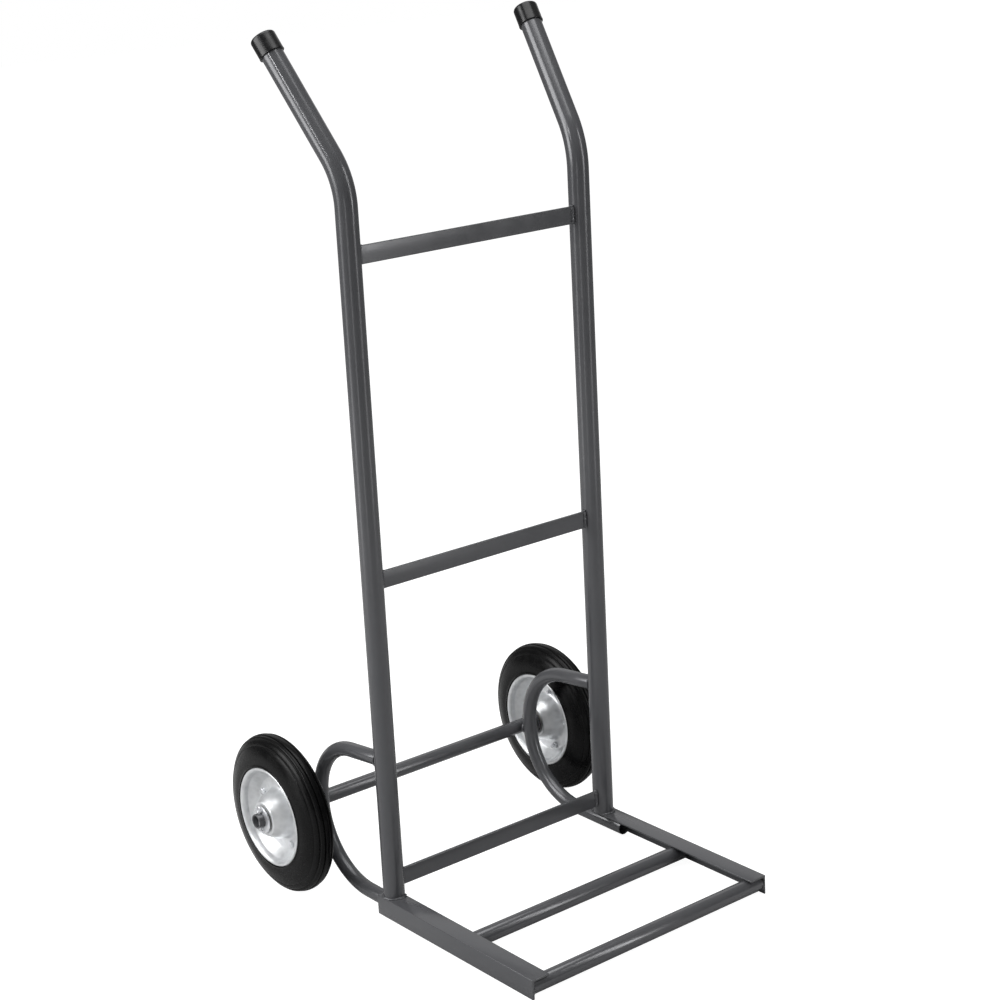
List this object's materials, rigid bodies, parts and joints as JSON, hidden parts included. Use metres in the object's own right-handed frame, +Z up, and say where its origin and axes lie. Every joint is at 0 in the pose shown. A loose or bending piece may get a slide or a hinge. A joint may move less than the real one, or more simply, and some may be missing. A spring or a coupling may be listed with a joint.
{
  "type": "hand truck",
  "caption": "Two-wheeled hand truck with a welded tube frame, bent-back handles, an open angle-iron toe and solid rubber wheels.",
  "frame": {"origin": "on the floor, under the middle of the truck's bounding box", "axes": "+Z up from the floor, with the uprights leaning 0.61 degrees forward of it as the truck stands, -Y forward to the toe's front edge, +X to the right-hand wheel, across the truck"},
  "size_m": [0.623, 0.6572, 1.285],
  "materials": {
    "grey_enamel": "gloss",
    "zinc_plate": "satin",
    "tyre_rubber": "satin",
    "cap_plastic": "gloss",
    "bush_nylon": "satin"
  },
  "bodies": {
    "frame": {"left_upright": "grey_enamel", "right_upright": "grey_enamel", "left_handle_cap": "cap_plastic", "right_handle_cap": "cap_plastic", "lower_crossbar": "grey_enamel", "middle_crossbar": "grey_enamel", "top_crossbar": "grey_enamel", "left_toe_angle": "grey_enamel", "right_toe_angle": "grey_enamel", "middle_toe_tube": "grey_enamel", "front_toe_tube": "grey_enamel", "left_wheel_bracket": "grey_enamel", "right_wheel_bracket": "grey_enamel", "axle_tube": "grey_enamel", "left_stop_washer": "grey_enamel", "left_outer_washer": "zinc_plate", "left_split_pin": "zinc_plate", "right_stop_washer": "grey_enamel", "right_outer_washer": "zinc_plate", "right_split_pin": "zinc_plate"},
    "left_wheel": {"left_tyre": "tyre_rubber", "left_outer_rim": "zinc_plate", "left_inner_rim": "zinc_plate", "left_hub_tube": "zinc_plate", "left_outer_bush": "bush_nylon", "left_inner_bush": "bush_nylon", "left_rim_bolt_1": "zinc_plate", "left_rim_bolt_2": "zinc_plate", "left_rim_bolt_3": "zinc_plate", "left_rim_bolt_4": "zinc_plate", "left_rim_bolt_5": "zinc_plate", "left_rim_nut_1": "zinc_plate", "left_rim_nut_2": "zinc_plate", "left_rim_nut_3": "zinc_plate", "left_rim_nut_4": "zinc_plate", "left_rim_nut_5": "zinc_plate"},
    "right_wheel": {"right_tyre": "tyre_rubber", "right_outer_rim": "zinc_plate", "right_inner_rim": "zinc_plate", "right_hub_tube": "zinc_plate", "right_outer_bush": "bush_nylon", "right_inner_bush": "bush_nylon", "right_rim_bolt_1": "zinc_plate", "right_rim_bolt_2": "zinc_plate", "right_rim_bolt_3": "zinc_plate", "right_rim_bolt_4": "zinc_plate", "right_rim_bolt_5": "zinc_plate", "right_rim_nut_1": "zinc_plate", "right_rim_nut_2": "zinc_plate", "right_rim_nut_3": "zinc_plate", "right_rim_nut_4": "zinc_plate", "right_rim_nut_5": "zinc_plate"}
  },
  "joints": [
    {"name": "left_wheel_spin", "type": "hinge", "parent": "frame", "child": "left_wheel", "pos_m": [-0.2645, 0.20542, 0.1232], "axis": [1, 0, 0], "continuous": true},
    {"name": "right_wheel_spin", "type": "hinge", "parent": "frame", "child": "right_wheel", "pos_m": [0.2645, 0.20542, 0.1232], "axis": [1, 0, 0], "continuous": true}
  ]
}
